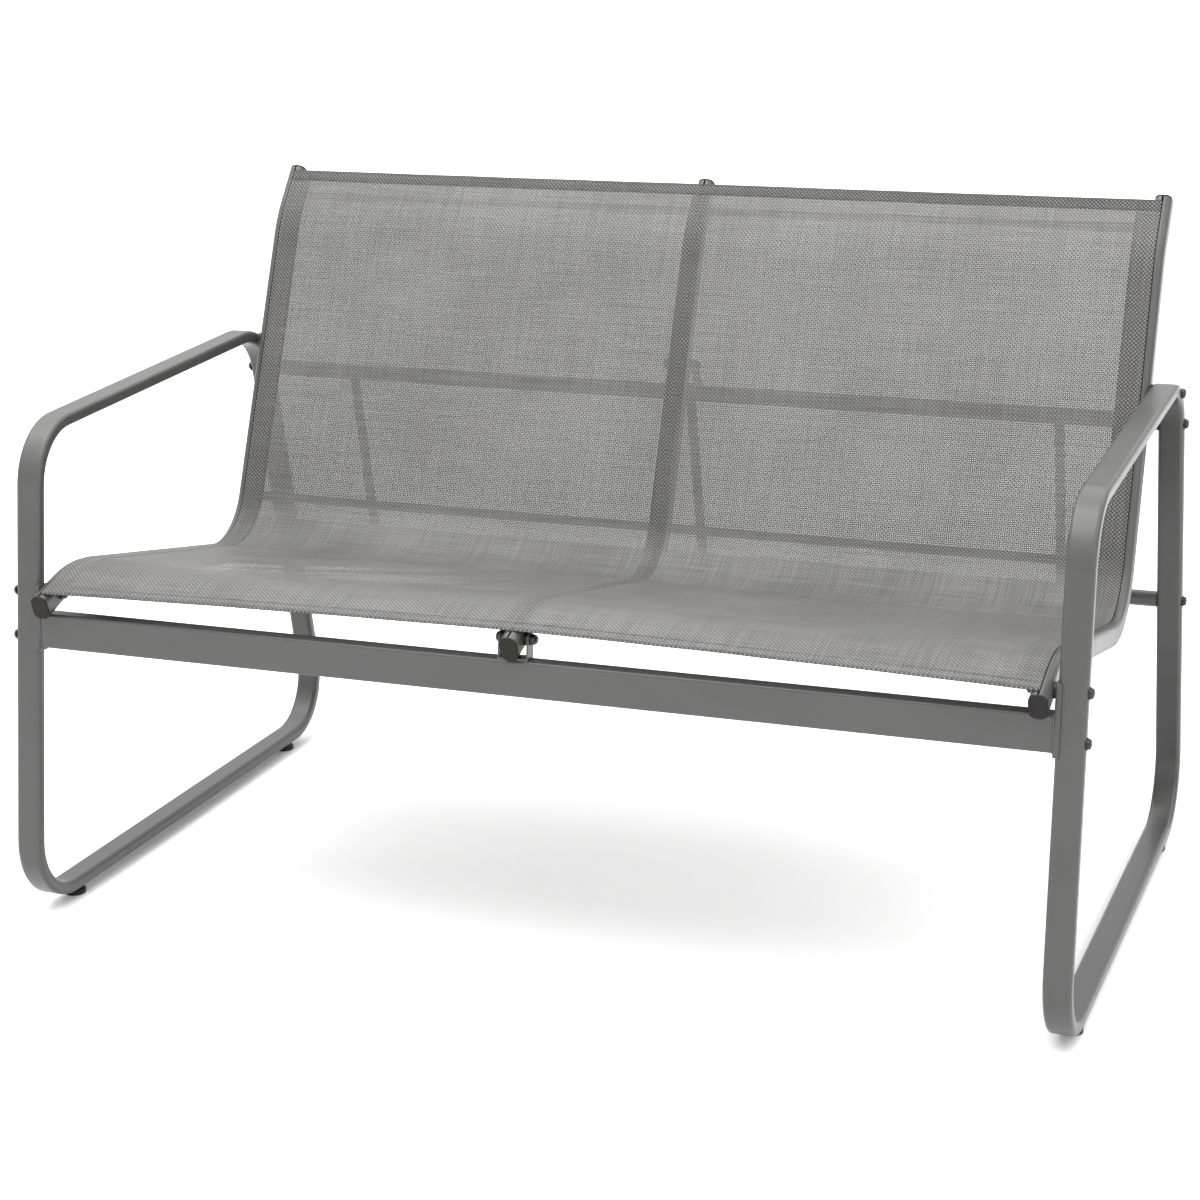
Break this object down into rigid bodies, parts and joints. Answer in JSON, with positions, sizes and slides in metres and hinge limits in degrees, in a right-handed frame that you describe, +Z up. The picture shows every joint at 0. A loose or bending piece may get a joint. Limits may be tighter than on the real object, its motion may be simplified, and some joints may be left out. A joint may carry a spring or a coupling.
{
  "type": "garden bench",
  "caption": "Garden bench with a mesh sling seat and back on curved rails, bent tube side loops that form legs, arms and skids, and screw-in levelling feet.",
  "frame": {"origin": "on the floor, under the middle of the bench: midway between the two side loops and midway between the front and rear bends of the legs", "axes": "+X to the right as seen from the front, the bench faces -Y, +Z up"},
  "size_m": [1.2092, 0.7246, 0.7846],
  "materials": {
    "frame_paint": "semi-gloss warm grey powder coat",
    "mesh_fabric": "grey coated polyester mesh",
    "cap_plastic": "dark grey moulded",
    "black_plastic": "black moulded",
    "keder_plastic": "extruded rod",
    "black_fasteners": "black coated steel",
    "zinc_steel": "zinc plated"
  },
  "bodies": {
    "bench": {"beam_bolts": "black_fasteners", "beam_nuts": "zinc_steel", "beam_saddle_left": "frame_paint", "beam_saddle_right": "frame_paint", "bracket_cross_bolts": "black_fasteners", "bracket_cross_nuts": "black_fasteners", "bracket_spacers": "black_plastic", "crossbar_bolts": "black_fasteners", "crossbar_inserts": "zinc_steel", "foot_inserts": "zinc_steel", "front_beam": "frame_paint", "front_bracket_nut": "zinc_steel", "front_bracket_screw": "black_fasteners", "front_center_bracket": "frame_paint", "keder_center": "keder_plastic", "keder_left": "keder_plastic", "keder_right": "keder_plastic", "lower_crossbar": "frame_paint", "rail_cap_front_center": "cap_plastic", "rail_cap_front_left": "cap_plastic", "rail_cap_front_right": "cap_plastic", "rail_cap_top_center": "cap_plastic", "rail_cap_top_left": "cap_plastic", "rail_cap_top_right": "cap_plastic", "rail_center": "frame_paint", "rail_left": "frame_paint", "rail_right": "frame_paint", "rail_side_bolts": "black_fasteners", "rail_side_nuts": "black_fasteners", "rail_spacers_front": "black_plastic", "rail_spacers_rear": "black_plastic", "rear_center_bracket": "frame_paint", "side_frame_left": "frame_paint", "side_frame_right": "frame_paint", "sling": "mesh_fabric", "spreader_lower_left": "frame_paint", "spreader_lower_right": "frame_paint", "spreader_top_left": "frame_paint", "spreader_top_right": "frame_paint", "strut_center": "frame_paint", "strut_left": "frame_paint", "strut_right": "frame_paint", "upper_crossbar": "frame_paint"},
    "foot_front_left": {"foot_front_left": "black_plastic", "foot_stem_front_left": "zinc_steel"},
    "foot_front_right": {"foot_front_right": "black_plastic", "foot_stem_front_right": "zinc_steel"},
    "foot_rear_left": {"foot_rear_left": "black_plastic", "foot_stem_rear_left": "zinc_steel"},
    "foot_rear_right": {"foot_rear_right": "black_plastic", "foot_stem_rear_right": "zinc_steel"}
  },
  "joints": [
    {"name": "foot_front_left_screw", "type": "slide", "parent": "bench", "child": "foot_front_left", "axis": [0, 0, -1], "range_m": [-0.003, 0.004]},
    {"name": "foot_front_right_screw", "type": "slide", "parent": "bench", "child": "foot_front_right", "axis": [0, 0, -1], "range_m": [-0.003, 0.004]},
    {"name": "foot_rear_left_screw", "type": "slide", "parent": "bench", "child": "foot_rear_left", "axis": [0, 0, -1], "range_m": [-0.003, 0.004]},
    {"name": "foot_rear_right_screw", "type": "slide", "parent": "bench", "child": "foot_rear_right", "axis": [0, 0, -1], "range_m": [-0.003, 0.004]}
  ]
}
